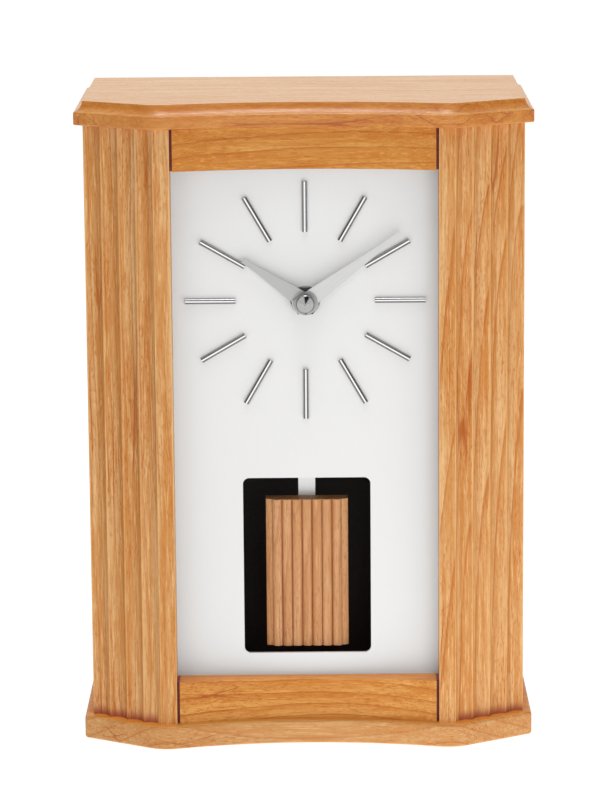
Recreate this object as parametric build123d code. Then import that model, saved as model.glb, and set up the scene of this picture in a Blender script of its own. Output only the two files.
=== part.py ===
from build123d import *
import os
from math import acos, atan2, cos, hypot, pi, radians, sin, tan

# Desk pendulum clock. Millimetres, +X to the right, +Y to the back, +Z up, standing on z = 0.

# Case boards, columns and rails
case_width = 213.0
case_depth = 121.0
pad_thickness = 1.0
pad_radius = 8.0
pad_inset = 22.0
base_thickness = 11.0
base_rounding = 1.4
base_corner_radius = 2.0
column_height = 283.0
cap_thickness = 11.0
moulding_width = 4.05
moulding_height = 5.4
lip_rounding = 0.5
fascia_rounding = 0.8
corner_depth = 20.5
bow_depth = 9.0
knee_x = 66.4
knee_radius = 18.0
overhang = 4.1
back_inset = 4.0
dial_opening = 123.8
band_width = 7.6
flute_count = 4
flute_land = 0.5
flute_depth = 1.9
dial_rebate = 8.1
column_back = 28.4
rail_height = 20.0
reveal_width = 1.3
reveal_depth = 2.4
same_place = 0.01

# Sides, back panel and the hardware that holds the case together
side_thickness = 14.0
panel_rebate = 5.0
panel_thickness = 4.0
panel_play = 0.2
panel_end_play = 0.4
finger_notch_radius = 9.0
button_length = 26.0
button_width = 7.4
button_thickness = 2.2
button_lift = 0.3
button_screw_radius = 1.25
button_head_radius = 2.6
button_head_height = 1.0
button_screw_grip = 12.0
screw_radius = 1.6
screw_head_radius = 3.6
screw_sink = 2.2
screw_length = 32.0
screw_play = 0.05
side_fixing_inset = 30.25
dowel_radius = 3.0
dowel_length = 16.0
dowel_in_cap = 6.5
dowel_play = 0.05

# Dial, markers and pendulum window
dial_recess = 14.4
dial_thickness = 1.5
dial_play = 0.2
dial_end_play = 1.0
batten_depth = 8.0
batten_end_gap = 8.0
marker_count = 12
marker_length = 23.5
marker_width = 2.7
marker_height = 1.8
marker_round = 1.25
marker_side_gap = 5.9
marker_top_gap = 6.5
window_side_gap = 10.6
window_foot_gap = 2.1
window_head_gap = 11.7
window_corner_radius = 3.0

# Hands and the nut that holds the movement to the dial
minute_hand_short = 1.0
minute_hand_point = 12.0
hour_hand_length = 35.0
hour_hand_point = 6.2
hand_thickness = 0.7
hand_hub_radius = 6.15
hand_root_width = 8.3
hand_tip_width = 2.7
minute_rest_angle = 54.1
hour_rest_angle = 304.5
washer_radius = 7.0
washer_thickness = 0.5
nut_across_flats = 12.4
nut_thickness = 1.6
bushing_radius = 4.0
bushing_stand = 0.4
bushing_play = 0.1
hand_gap = 0.8
cap_nut_radius = 4.2
cap_nut_height = 5.6
cap_nut_rim = 0.3
cap_nut_cone = 1.0
arbor_in_cap = 4.0
press_play = 0.02

# Movement housing
housing_wall = 1.5
housing_corner_radius = 3.0
partition = 1.2
cover_thickness = 1.5
battery_diameter = 14.5
battery_length = 50.5
battery_nub_radius = 2.75
battery_nub_length = 1.0
battery_play = 0.5
battery_spring_depth = 2.1
contact_thickness = 0.4
contact_width = 9.0
drive_bay_height = 26.0

# Wheels: every arbor stands train_radius from the hands, and the rotor stands beside the intermediate wheel
train_radius = 11.5
rotor_distance = 7.0
wheel_thickness = 1.0
wheel_gap = 0.6
first_wheel_gap = 0.5
wheel_clearance = 0.75
rotor_pinion_teeth = 8
intermediate_teeth = 48
intermediate_pinion_teeth = 8
seconds_teeth = 40
seconds_pinion_teeth = 8
third_teeth = 60
third_pinion_teeth = 8
centre_teeth = 64
minute_pinion_teeth = 12
motion_teeth = 36
motion_pinion_teeth = 12
hour_teeth = 48
addendum = 0.9
dedendum = 1.25
root_share = 0.52
tip_share = 0.2
arbor_radius = 0.5
pivot_radius = 0.35
pivot_length = 0.8
pivot_play = 0.05
shoulder_play = 0.1
hour_pipe_radius = 2.6
minute_arbor_radius = 1.7
setting_shaft_radius = 0.75
setting_knob_radius = 6.0
setting_knob_height = 5.0
setting_knob_gap = 0.4
setting_knob_grips = 18
setting_knob_grip_radius = 0.55

# Layers of the movement in their order from the dial backwards
wheel_order = ("hour", "minute", "centre", "third", "seconds", "rotor", "magnet")

# Stepping motor and circuit board
magnet_radius = 2.5
magnet_length = 3.0
stator_play = 0.5
stator_thickness = 0.8
stator_arm = 3.0
coil_bar_width = 4.6
coil_wall = 1.2
coil_depth = 6.0
coil_play = 0.1
stator_wall_gap = 2.5
stator_right = 3.2
stator_foot = 1.5
stator_head = 16.5
board_left = 8.0
board_wall_gap = 1.0
board_foot = 5.5
board_head = 17.0
board_thickness = 0.8
post_radius = 1.2
crystal_radius = 1.0
crystal_length = 6.0
crystal_play = 0.02

# Pendulum
pendulum_swing = 7.0
pivot_drop = 5.0
hanger_pin_radius = 0.8
hanger_hub_radius = 3.2
hanger_hub_length = 6.4
hanger_thickness = 2.4
hanger_width = 6.5
hanger_reach = 7.5
hanger_slot_play = 1.2
hook_radius = 1.2
hook_drop = 4.2
hook_stand = 0.8
drive_magnet_radius = 4.0
drive_magnet_thickness = 3.0
drive_magnet_drop = 12.0
drive_coil_radius = 6.0
drive_coil_bore = 2.4
drive_coil_gap = 1.0
rod_width = 8.0
rod_thickness = 0.8
rod_gap = 1.6
rod_tail = 9.0
bob_drop = 39.7
bob_width = 38.8
bob_height = 71.3
bob_thickness = 9.5
bob_gap = 3.0
bob_ribs = 7
bob_rib_height = 1.6
bob_rib_shoulder = 2.0
bob_margin = 2.9
bob_margin_fall = 2.8
bob_screw_radius = 1.0
bob_screw_head_radius = 2.0
bob_screw_head_height = 0.9
bob_screw_grip = 5.0
bob_screw_inset = 16.0

# Heights and depths that follow from the sizes above
front = -case_depth / 2
back = case_depth / 2
half_width = case_width / 2
base_top = pad_thickness + base_thickness
cap_bottom = base_top + column_height
cap_top = cap_bottom + cap_thickness
side_face = half_width - overhang
band_depth = front + overhang
dial_front = band_depth + dial_recess
dial_back = dial_front + dial_thickness
column_rear = band_depth + column_back
column_inner = dial_opening / 2
case_rear = back - back_inset
panel_front = case_rear - panel_thickness - panel_play
marker_outer = column_inner - marker_side_gap
top_rail_bottom = cap_bottom - rail_height
bottom_rail_top = base_top + rail_height
shaft_z = top_rail_bottom - marker_top_gap - marker_outer

# Plan of the front edge: angled corners, round knees and a middle bowed inwards, all tangent
knee_y = front + knee_radius
bow_middle = front + bow_depth
bow_rise = knee_y - bow_middle
bow_radius = (knee_x**2 + bow_rise**2 - knee_radius**2) / (2 * (knee_radius - bow_rise))
bow_centre = bow_middle - bow_radius
corner_y = front + corner_depth
corner_reach = hypot(half_width - knee_x, corner_y - knee_y)
angled_normal = atan2(corner_y - knee_y, half_width - knee_x) - acos(knee_radius / corner_reach)
knee_tangent = (knee_x + knee_radius * cos(angled_normal), knee_y + knee_radius * sin(angled_normal))
bow_share = bow_radius / (bow_radius + knee_radius)
bow_end = (knee_x * bow_share, bow_centre + (knee_y - bow_centre) * bow_share)

# Depths of the movement, from the dial backwards
pocket_front = dial_back + housing_wall
cover_front = pocket_front + battery_diameter + 2 * battery_play
cover_back = cover_front + cover_thickness
pivot_depth = pivot_length + shoulder_play

# Modules that make each pair of wheels meet at its distance
motion_module = 2 * train_radius / (minute_pinion_teeth + motion_teeth)
hour_module = 2 * train_radius / (motion_pinion_teeth + hour_teeth)
centre_module = 2 * train_radius / (third_pinion_teeth + centre_teeth)
third_module = 2 * train_radius / (seconds_pinion_teeth + third_teeth)
seconds_module = 2 * train_radius / (intermediate_pinion_teeth + seconds_teeth)
rotor_module = 2 * rotor_distance / (rotor_pinion_teeth + intermediate_teeth)

# Places of the arbors, seen from the front
motion_axis = (train_radius, shaft_z)
third_axis = (-train_radius, shaft_z)
intermediate_axis = (0, shaft_z + train_radius)
rotor_axis = (-rotor_distance, shaft_z + train_radius)

# Heights of the bays in the movement housing
gear_bay_top = shaft_z + train_radius + rotor_module * (intermediate_teeth / 2 + addendum) + wheel_clearance
gear_bay_bottom = shaft_z - third_module * (third_teeth / 2 + addendum) - wheel_clearance
battery_bay_top = gear_bay_bottom - partition
battery_z = battery_bay_top - battery_play - battery_diameter / 2
battery_bay_bottom = battery_z - battery_diameter / 2 - battery_play
drive_bay_top = battery_bay_bottom - partition
drive_bay_bottom = drive_bay_top - drive_bay_height
housing_top = gear_bay_top + housing_wall
housing_bottom = drive_bay_bottom - housing_wall

# Widths inside the movement housing, set by the battery and its contacts
bay_half_width = (battery_length + contact_thickness + battery_spring_depth) / 2
housing_width = 2 * (bay_half_width + housing_wall)
stator_left = bay_half_width - stator_wall_gap
board_right = bay_half_width - board_wall_gap

# Places on the pendulum
swing_z = drive_bay_top - pivot_drop
bob_top = housing_bottom - bob_drop
bob_bottom = bob_top - bob_height
bob_front = dial_back + bob_gap
bob_back = bob_front + bob_thickness
hanger_front = bob_back - hanger_thickness
window_bottom = bob_bottom - window_foot_gap
window_top = bob_top + window_head_gap
window_width = bob_width + 2 * window_side_gap

# Depths of the nut and the hands in front of the dial
nut_front = dial_front - washer_thickness - nut_thickness
bushing_front = nut_front - bushing_stand
hour_hand_back = bushing_front - hand_gap
hour_hand_front = hour_hand_back - hand_thickness
minute_hand_back = hour_hand_front - hand_gap
minute_hand_front = minute_hand_back - hand_thickness
minute_hand_length = marker_outer - minute_hand_short


def prism(plan, bottom, top):
    """Raise a plan sketch from height bottom to height top."""
    return extrude(Pos(0, 0, bottom) * plan, amount=top - bottom)


def slab(sketch, rear, ahead):
    """Carry a sketch drawn in x and z forward from depth rear to depth ahead."""
    plane = Plane(origin=(0, rear, 0), x_dir=(1, 0, 0), z_dir=(0, -1, 0))
    return extrude(plane * sketch, amount=rear - ahead)


def spindle(place, radius, rear, ahead):
    """Round bar along the depth, centred on a place given as x and z."""
    return slab(Pos(*place) * Circle(radius), rear, ahead)


def box_between(left, right, foot, head):
    """Rectangle sketch between two x and two z values."""
    return Pos((left + right) / 2, (foot + head) / 2) * Rectangle(right - left, head - foot)


def layer(name):
    """Rear and front depth of a layer of the movement."""
    ahead = pocket_front + first_wheel_gap + wheel_order.index(name) * (wheel_thickness + wheel_gap)
    return ahead + wheel_thickness, ahead


# Places of the screws under the base and of the dowels under the cap
column_fixing = ((knee_x + half_width) / 2, (column_rear + corner_y) / 2)
side_fixing = (side_face - side_thickness / 2, case_rear - side_fixing_inset)
fixings = [(sign * x, y) for sign in (-1, 1) for x, y in (column_fixing, side_fixing)]

# Turn buttons pivot on the rear edges of the side panels at half height
button_x = side_face - button_width / 2
button_z = (base_top + cap_bottom) / 2
button_pivots = [(-button_x, button_z), (button_x, button_z)]
button_front = case_rear + button_lift
button_rear = button_front + button_thickness

# The stator lies across the middle of the rotor magnet, and the circuit board lies in the same plane
magnet_front = layer("magnet")[1]
magnet_rear = magnet_front + magnet_length
stator_rear = magnet_rear - (magnet_length - stator_thickness) / 2
stator_front = stator_rear - stator_thickness
stator_posts = [(-stator_left + coil_bar_width + 2 * stator_arm, shaft_z + stator_head - stator_arm / 2),
                (-stator_left + coil_bar_width + 2 * stator_arm, shaft_z + stator_foot + stator_arm / 2)]
board_posts = [(board_left + 2 * post_radius, shaft_z + board_head - 2 * post_radius),
               (board_right - 2 * post_radius, shaft_z + board_foot + 2 * post_radius)]

# The minute arbor ends just behind the centre wheel
minute_arbor_rear = layer("centre")[0] + wheel_gap / 2

# Screws that hold the rod to the back of the bob
bob_screw_places = [(0, bob_top - bob_screw_inset), (0, bob_bottom + bob_screw_inset)]


def toothed(teeth, module, towards, gap_there):
    """Toothed outline with straight flanks; a tooth, or a gap, points in the direction towards."""
    pitch = 2 * pi / teeth
    first = towards + (pitch / 2 if gap_there else 0)
    tip = module * (teeth / 2 + addendum)
    root = module * (teeth / 2 - dedendum)
    points = []
    for tooth in range(teeth):
        middle = first + tooth * pitch
        for radius, share in ((root, -root_share), (tip, -tip_share), (tip, tip_share), (root, root_share)):
            angle = middle + share * pitch / 2
            points.append((radius * cos(angle), radius * sin(angle)))
    return make_face(Polyline(*points, close=True))


def wheel(place, outline, name, bore=0.0):
    """Wheel or pinion in a named layer, with a bore if it has one."""
    rear, ahead = layer(name)
    disc = slab(Pos(*place) * outline, rear, ahead)
    if bore:
        disc -= spindle(place, bore, rear, ahead)
    return disc


def arbor(place, radius, rear, ahead):
    """Arbor with a thinner pivot at both ends, shoulders just clear of the walls at rear and ahead."""
    body = spindle(place, radius, rear - shoulder_play, ahead + shoulder_play)
    pivots = spindle(place, pivot_radius, rear + pivot_length, ahead - pivot_length)
    return body + pivots


def board_edges(extra):
    """Edge of the base and the cap from the left rear round the front to the right rear."""
    left_tangent = (-knee_tangent[0], knee_tangent[1])
    left_bow_end = (-bow_end[0], bow_end[1])
    return [
        Line((-half_width, back + extra), (-half_width, corner_y)),
        Line((-half_width, corner_y), left_tangent),
        ThreePointArc(left_tangent, (-knee_x, front), left_bow_end),
        ThreePointArc(left_bow_end, (0, bow_middle), bow_end),
        ThreePointArc(bow_end, (knee_x, front), knee_tangent),
        Line(knee_tangent, (half_width, corner_y)),
        Line((half_width, corner_y), (half_width, back + extra)),
    ]


def board_plan():
    """Closed plan of the base and the cap."""
    rear_edge = Line((half_width, back), (-half_width, back))
    return make_face(board_edges(0) + [rear_edge])


def front_rim(board, height):
    """Edges round the front and sides of a board at one height."""
    level = [edge for edge in board.edges() if abs(edge.center().Z - height) < same_place]
    return [edge for edge in level if edge.center().Y < back - same_place]


def screw_hole(bottom, top, radius):
    """Round cutters at every fixing between two heights."""
    return [Pos(x, y, bottom) * Cylinder(radius, top - bottom, align=(Align.CENTER, Align.CENTER, Align.MIN))
            for x, y in fixings]


def make_base():
    plan = board_plan()
    corners = [v for v in plan.vertices() if abs(v.Y - corner_y) < same_place]
    plan = fillet(corners, base_corner_radius)
    board = prism(plan, pad_thickness, base_top)
    board = fillet(front_rim(board, base_top) + front_rim(board, pad_thickness), base_rounding)
    board -= screw_hole(pad_thickness, base_top, screw_radius + screw_play)
    sink = Cone(screw_head_radius + screw_play, screw_radius + screw_play, screw_sink,
                align=(Align.CENTER, Align.CENTER, Align.MIN))
    board -= [Pos(x, y, pad_thickness) * sink for x, y in fixings]
    return board


def make_cap():
    """Board with a cove run round the front and sides, which ends in a rounded lip above the fascia."""
    board = prism(board_plan(), cap_bottom, cap_top)
    margin = moulding_width
    section_plane = Plane(origin=(-half_width, back + margin, cap_top), x_dir=(1, 0, 0), z_dir=(0, -1, 0))
    cove_end = (lip_rounding, lip_rounding - moulding_height)
    cove = TangentArc((moulding_width, 0), cove_end, tangent=(0, -1))
    lip = TangentArc(cove_end, (0, -moulding_height), tangent=cove % 1)
    rest = Polyline((0, -moulding_height), (-margin, -moulding_height), (-margin, margin),
                    (moulding_width, margin), (moulding_width, 0))
    section = make_face([cove, lip] + list(rest.edges()))
    path = Pos(0, 0, cap_top) * Wire(board_edges(margin))
    board -= sweep(section_plane * section, path=path, transition=Transition.RIGHT)
    board = fillet(front_rim(board, cap_bottom), fascia_rounding)
    board -= screw_hole(cap_bottom, cap_bottom + dowel_in_cap, dowel_radius + dowel_play)
    return board


def make_right_column():
    """Post with a plain band at the knee, a row of coves on the angled face and a rebate for the dial."""
    knee = Vector(column_inner + band_width, band_depth)
    along = Vector(cos(angled_normal + pi / 2), sin(angled_normal + pi / 2))
    outer = knee + along * ((side_face - knee.X) / along.X)
    inwards = Vector(-cos(angled_normal), -sin(angled_normal))
    pitch = (outer - knee).length / flute_count
    edges = [Line((column_inner, band_depth), knee)]
    place = knee
    for flute in range(flute_count):
        start = knee + along * (flute * pitch + flute_land / 2)
        end = knee + along * ((flute + 1) * pitch - flute_land / 2)
        deepest = (start + end) / 2 + inwards * flute_depth
        edges.append(Line(place, start))
        edges.append(ThreePointArc(start, deepest, end))
        place = end
    rebate_x = column_inner + dial_rebate
    edges += Polyline(place, outer, (side_face, column_rear), (rebate_x, column_rear), (rebate_x, dial_front),
                      (column_inner, dial_front), (column_inner, band_depth)).edges()
    column = prism(make_face(edges), base_top, cap_bottom)
    column -= screw_hole(base_top, base_top + screw_length - base_thickness, screw_radius + screw_play)
    column -= screw_hole(cap_bottom - dowel_length + dowel_in_cap, cap_bottom, dowel_radius + dowel_play)
    return column


def make_rail(bottom, top):
    """Rail with a bowed face and a shadow groove at each end, butting the columns behind the groove."""
    radius = bow_radius + overhang
    groove_x = column_inner - reveal_width

    def face_depth(x):
        return bow_centre + (radius**2 - x**2) ** 0.5

    left = (-groove_x, face_depth(groove_x))
    right = (groove_x, face_depth(groove_x))
    groove_y = face_depth(groove_x) + reveal_depth
    edges = [ThreePointArc(left, (0, bow_centre + radius), right)]
    right_end = [(groove_x, groove_y), (column_inner, groove_y), (column_inner, dial_front)]
    left_end = [(-x, y) for x, y in reversed(right_end)]
    edges += Polyline(right, *right_end, *left_end, left).edges()
    return prism(make_face(edges), bottom, top)


def make_right_side():
    inner = side_face - side_thickness
    plan = make_face(Polyline(
        (side_face, column_rear), (side_face, case_rear), (inner + panel_rebate, case_rear),
        (inner + panel_rebate, panel_front), (inner, panel_front), (inner, column_rear), close=True))
    panel = prism(plan, base_top, cap_bottom)
    panel -= screw_hole(base_top, base_top + screw_length - base_thickness, screw_radius + screw_play)
    panel -= screw_hole(cap_bottom - dowel_length + dowel_in_cap, cap_bottom, dowel_radius + dowel_play)
    for place in button_pivots:
        panel -= spindle(place, button_screw_radius + screw_play, case_rear, case_rear - button_screw_grip)
    return panel


def make_back_panel():
    half = side_face - side_thickness + panel_rebate - panel_play
    foot = base_top + panel_end_play
    head = cap_bottom - panel_end_play
    sheet = box_between(-half, half, foot, head) - Pos(0, head) * Circle(finger_notch_radius)
    return slab(sheet, panel_front + panel_thickness, panel_front)


def make_right_button():
    """Flat bar, round at both ends, that reaches inwards over the back panel."""
    tail = button_length - button_width
    bar = Pos(button_x - tail / 2, button_z) * SlotOverall(button_length, button_width)
    bar -= Pos(button_x, button_z) * Circle(button_screw_radius + screw_play)
    return slab(bar, button_rear, button_front)


def make_button_screws():
    screws = []
    for place in button_pivots:
        shank = spindle(place, button_screw_radius, button_rear, case_rear - button_screw_grip)
        head = spindle(place, button_head_radius, button_rear + button_head_height, button_rear)
        screws.append(shank + head)
    return Compound(screws)


def make_feet():
    x = half_width - pad_inset
    places = [(sign * x, y) for sign in (-1, 1) for y in (back - pad_inset, corner_y + pad_inset)]
    pad = Cylinder(pad_radius, pad_thickness, align=(Align.CENTER, Align.CENTER, Align.MIN))
    return Compound([Pos(px, py) * pad for px, py in places])


def make_case_screws():
    head = Cone(screw_head_radius, screw_radius, screw_sink, align=(Align.CENTER, Align.CENTER, Align.MIN))
    shank = Cylinder(screw_radius, screw_length - screw_play, align=(Align.CENTER, Align.CENTER, Align.MIN))
    return Compound([Pos(x, y, pad_thickness) * (shank + head) for x, y in fixings])


def make_dowels():
    dowel = Cylinder(dowel_radius, dowel_length, align=(Align.CENTER, Align.CENTER, Align.MAX))
    return Compound([Pos(x, y, cap_bottom + dowel_in_cap) * dowel for x, y in fixings])


def make_dial():
    half = column_inner + dial_rebate - dial_play
    sheet = box_between(-half, half, base_top + dial_end_play, cap_bottom - dial_end_play)
    window = RectangleRounded(window_width, window_top - window_bottom, window_corner_radius)
    sheet -= Pos(0, (window_top + window_bottom) / 2) * window
    sheet -= Pos(0, shaft_z) * Circle(bushing_radius + bushing_play)
    return slab(sheet, dial_back, dial_front)


def make_right_batten():
    foot = base_top + batten_end_gap
    head = cap_bottom - batten_end_gap
    strip = box_between(column_inner, column_inner + dial_rebate, foot, head)
    return slab(strip, dial_back + batten_depth, dial_back)


def make_markers():
    """Bars with rounded fronts set round the dial like the spokes of a wheel."""
    bar = slab(Pos(0, marker_outer - marker_length / 2) * Rectangle(marker_width, marker_length),
               dial_front, dial_front - marker_height)
    bar = fillet(bar.faces().sort_by(Axis.Y)[0].edges().filter_by(Axis.Z), marker_round)
    step = 360 / marker_count
    return Compound([Pos(0, 0, shaft_z) * Rot(0, k * step, 0) * bar for k in range(marker_count)])


def make_washer():
    ring = Circle(washer_radius) - Circle(bushing_radius + bushing_play)
    return slab(Pos(0, shaft_z) * ring, dial_front, dial_front - washer_thickness)


def make_nut():
    hexagon = RegularPolygon(nut_across_flats / 2, 6, major_radius=False)
    ring = hexagon - Circle(bushing_radius + bushing_play)
    return slab(Pos(0, shaft_z) * ring, dial_front - washer_thickness, nut_front)


def hand_blank(length, point, round_tip):
    """Hand pointing up: a tail rounded about the hub, a tapering blade and a narrow parallel point."""
    root = hand_root_width / 2
    tip = hand_tip_width / 2
    reach = length - tip if round_tip else length
    right_edge = [(root, -hand_hub_radius), (root, 0), (tip, length - point), (tip, reach)]
    left_edge = [(-x, y) for x, y in reversed(right_edge)]
    blade = make_face(Polyline(*right_edge, *left_edge, close=True))
    blade &= Circle(hand_hub_radius) + Pos(0, length / 2) * Rectangle(hand_root_width, length)
    if round_tip:
        blade += Pos(0, reach) * Circle(tip)
    return blade


def make_hand(length, point, round_tip, bore, angle, rear):
    blank = hand_blank(length, point, round_tip) - Circle(bore)
    return slab(Pos(0, shaft_z) * Rot(0, 0, -angle) * blank, rear, rear - hand_thickness)


def make_cap_nut():
    """Turned nut with a shallow cone on its face and a blind hole for the minute arbor."""
    face = minute_hand_front - cap_nut_height
    hole = minute_arbor_radius + press_play
    hole_end = minute_hand_front - arbor_in_cap
    half_section = make_face(Polyline(
        (hole, minute_hand_front), (cap_nut_radius, minute_hand_front), (cap_nut_radius, face + cap_nut_rim),
        (cap_nut_radius - cap_nut_rim, face), (0, face - cap_nut_cone), (0, hole_end), (hole, hole_end),
        close=True))
    return Pos(0, 0, shaft_z) * revolve(half_section, Axis.Y)


def housing_outline():
    outline = RectangleRounded(housing_width, housing_top - housing_bottom, housing_corner_radius)
    return Pos(0, (housing_top + housing_bottom) / 2) * outline


def make_housing():
    """Moulded tray with bays for the wheels, the battery and the pendulum drive, and a threaded bushing."""
    tray = slab(housing_outline(), cover_front, dial_back)
    gear_bay = (gear_bay_bottom, gear_bay_top)
    battery_bay = (battery_bay_bottom, battery_bay_top)
    drive_bay = (drive_bay_bottom, drive_bay_top)
    for foot, head in (gear_bay, battery_bay, drive_bay):
        tray -= slab(box_between(-bay_half_width, bay_half_width, foot, head), cover_front, pocket_front)
    tray += spindle((0, shaft_z), bushing_radius, dial_back, bushing_front)
    tray -= spindle((0, shaft_z), hour_pipe_radius + pivot_play, pocket_front, bushing_front)
    for place in (third_axis, intermediate_axis, rotor_axis, motion_axis):
        tray -= spindle(place, pivot_radius + pivot_play, pocket_front, pocket_front - pivot_depth)
    tray -= spindle((0, swing_z), hanger_pin_radius + press_play, pocket_front, pocket_front - pivot_length)
    sway = (swing_z - housing_bottom) * tan(radians(pendulum_swing))
    slot_reach = sway + hanger_width / 2 + hanger_slot_play
    slot = box_between(-slot_reach, slot_reach, housing_bottom, drive_bay_bottom)
    tray -= slab(slot, bob_back + hanger_slot_play, hanger_front - hanger_slot_play)
    return tray


def make_cover():
    """Flat cover, open over the battery, with posts for the motor and the circuit board."""
    battery_opening = box_between(-bay_half_width, bay_half_width, battery_bay_bottom, battery_bay_top)
    plate = slab(housing_outline() - battery_opening, cover_back, cover_front)
    for place in stator_posts + board_posts:
        plate += spindle(place, post_radius, cover_front, stator_rear)
    for place in ((0, shaft_z), third_axis, intermediate_axis, rotor_axis):
        plate -= spindle(place, pivot_radius + pivot_play, cover_front + pivot_depth, cover_front)
    plate -= spindle(motion_axis, setting_shaft_radius + pivot_play, cover_back, cover_front)
    plate -= spindle((0, swing_z), hanger_pin_radius + press_play, cover_front + pivot_length, cover_front)
    return plate


def make_battery():
    """Dry cell lying across the housing with its nub against the positive contact."""
    nub_end = bay_half_width - contact_thickness
    can_end = nub_end - battery_nub_length
    can_start = nub_end - battery_length
    radius = battery_diameter / 2
    half_section = make_face(Polyline(
        (can_start, 0), (can_start, radius), (can_end, radius), (can_end, battery_nub_radius),
        (nub_end, battery_nub_radius), (nub_end, 0), close=True))
    cell = revolve(half_section, Axis.X)
    return Pos(0, pocket_front + battery_play + radius, battery_z) * cell


def make_positive_contact():
    plate = box_between(bay_half_width - contact_thickness, bay_half_width,
                        battery_z - contact_width / 2, battery_z + contact_width / 2)
    return slab(plate, cover_front - battery_play, pocket_front + battery_play)


def make_negative_contact():
    """Springy strip bowed between the housing wall and the flat end of the battery."""
    wall = -bay_half_width
    cell = bay_half_width - contact_thickness - battery_length
    head = battery_z + contact_width / 2
    foot = battery_z - contact_width / 2
    outer = ThreePointArc((wall, head), (cell, battery_z), (wall, foot))
    inner = ThreePointArc((wall, foot + contact_thickness), (cell - contact_thickness, battery_z),
                          (wall, head - contact_thickness))
    strip = make_face([outer, Line((wall, foot), inner @ 0), inner, Line(inner @ 1, (wall, head))])
    return slab(strip, cover_front - battery_play, pocket_front + battery_play)


def make_board():
    sheet = box_between(board_left, board_right, shaft_z + board_foot, shaft_z + board_head)
    return slab(sheet, stator_rear, stator_rear - board_thickness)


def make_crystal():
    middle = ((board_left + board_right) / 2, stator_rear - board_thickness - crystal_radius - crystal_play,
              shaft_z + (board_foot + board_head) / 2)
    return Pos(*middle) * Rot(0, 90, 0) * Cylinder(crystal_radius, crystal_length)


def make_stator():
    """Soft iron frame with a bar for the coil and a round eye for the rotor."""
    foot = shaft_z + stator_foot
    head = shaft_z + stator_head
    eye = magnet_radius + stator_play
    frame = box_between(-stator_left, -stator_right, foot, head)
    eye_left = rotor_axis[0] - eye - stator_arm / 2
    frame -= box_between(-stator_left + coil_bar_width, eye_left, foot + stator_arm, head - stator_arm)
    frame -= Pos(*rotor_axis) * Circle(eye)
    return slab(frame, stator_rear, stator_front)


def make_coil():
    """Winding on the stator bar, rounded at its edges, with a bore that fits the bar."""
    middle_x = -stator_left + coil_bar_width / 2
    middle_y = (stator_front + stator_rear) / 2
    width = coil_bar_width + 2 * coil_wall
    ring = RectangleRounded(width, coil_depth, coil_wall)
    ring -= Rectangle(coil_bar_width + 2 * coil_play, stator_thickness + 2 * coil_play)
    foot = shaft_z + stator_foot + stator_arm + coil_play
    head = shaft_z + stator_head - stator_arm - coil_play
    return prism(Pos(middle_x, middle_y) * ring, foot, head)


def make_rotor():
    shaft = arbor(rotor_axis, arbor_radius, cover_front, pocket_front)
    pinion = wheel(rotor_axis, toothed(rotor_pinion_teeth, rotor_module, 0, False), "rotor")
    return shaft + pinion + spindle(rotor_axis, magnet_radius, magnet_rear, magnet_front)


def make_intermediate():
    shaft = arbor(intermediate_axis, arbor_radius, cover_front, pocket_front)
    rim = wheel(intermediate_axis, toothed(intermediate_teeth, rotor_module, pi, True), "rotor")
    pinion = toothed(intermediate_pinion_teeth, seconds_module, -pi / 2, False)
    return shaft + rim + wheel(intermediate_axis, pinion, "seconds")


def make_seconds():
    """Wheel on the axis of the hands, whose front pivot runs in the end of the minute arbor."""
    shaft = arbor((0, shaft_z), arbor_radius, cover_front, minute_arbor_rear)
    rim = wheel((0, shaft_z), toothed(seconds_teeth, seconds_module, pi / 2, True), "seconds")
    pinion = toothed(seconds_pinion_teeth, third_module, pi, False)
    return shaft + rim + wheel((0, shaft_z), pinion, "third")


def make_third():
    shaft = arbor(third_axis, arbor_radius, cover_front, pocket_front)
    rim = wheel(third_axis, toothed(third_teeth, third_module, 0, True), "third")
    pinion = toothed(third_pinion_teeth, centre_module, 0, False)
    return shaft + rim + wheel(third_axis, pinion, "centre")


def make_centre():
    outline = toothed(centre_teeth, centre_module, pi, True)
    return wheel((0, shaft_z), outline, "centre", minute_arbor_radius + pivot_play)


def make_minute_arbor():
    body = spindle((0, shaft_z), minute_arbor_radius, minute_arbor_rear, minute_hand_front - arbor_in_cap)
    body += wheel((0, shaft_z), toothed(minute_pinion_teeth, motion_module, 0, False), "minute")
    return body - spindle((0, shaft_z), pivot_radius + pivot_play, minute_arbor_rear,
                          minute_arbor_rear - pivot_depth)


def make_motion_wheel():
    """Wheel and pinion on the setting shaft, which comes out through the cover."""
    rim = wheel(motion_axis, toothed(motion_teeth, motion_module, pi, True), "minute")
    pinion = wheel(motion_axis, toothed(motion_pinion_teeth, hour_module, pi, False), "hour")
    shaft_rear = cover_back + setting_knob_gap + setting_knob_height - shoulder_play
    shaft = spindle(motion_axis, setting_shaft_radius, shaft_rear, pocket_front + shoulder_play)
    return rim + pinion + shaft + spindle(motion_axis, pivot_radius, shaft_rear, pocket_front - pivot_length)


def make_knob():
    """Setting knob with hollows round its rim for grip."""
    rear = cover_back + setting_knob_gap + setting_knob_height
    disc = Circle(setting_knob_radius)
    disc -= PolarLocations(setting_knob_radius, setting_knob_grips) * Circle(setting_knob_grip_radius)
    knob = slab(Pos(*motion_axis) * disc, rear, cover_back + setting_knob_gap)
    return knob - spindle(motion_axis, setting_shaft_radius + press_play, rear - shoulder_play,
                          cover_back + setting_knob_gap)


def make_hour_wheel():
    """Wheel with the pipe that carries the hour hand."""
    rim = wheel((0, shaft_z), toothed(hour_teeth, hour_module, 0, True), "hour")
    rear = layer("hour")[0]
    pipe = spindle((0, shaft_z), hour_pipe_radius, rear, hour_hand_front)
    return rim + pipe - spindle((0, shaft_z), minute_arbor_radius + pivot_play, rear, hour_hand_front)


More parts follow.
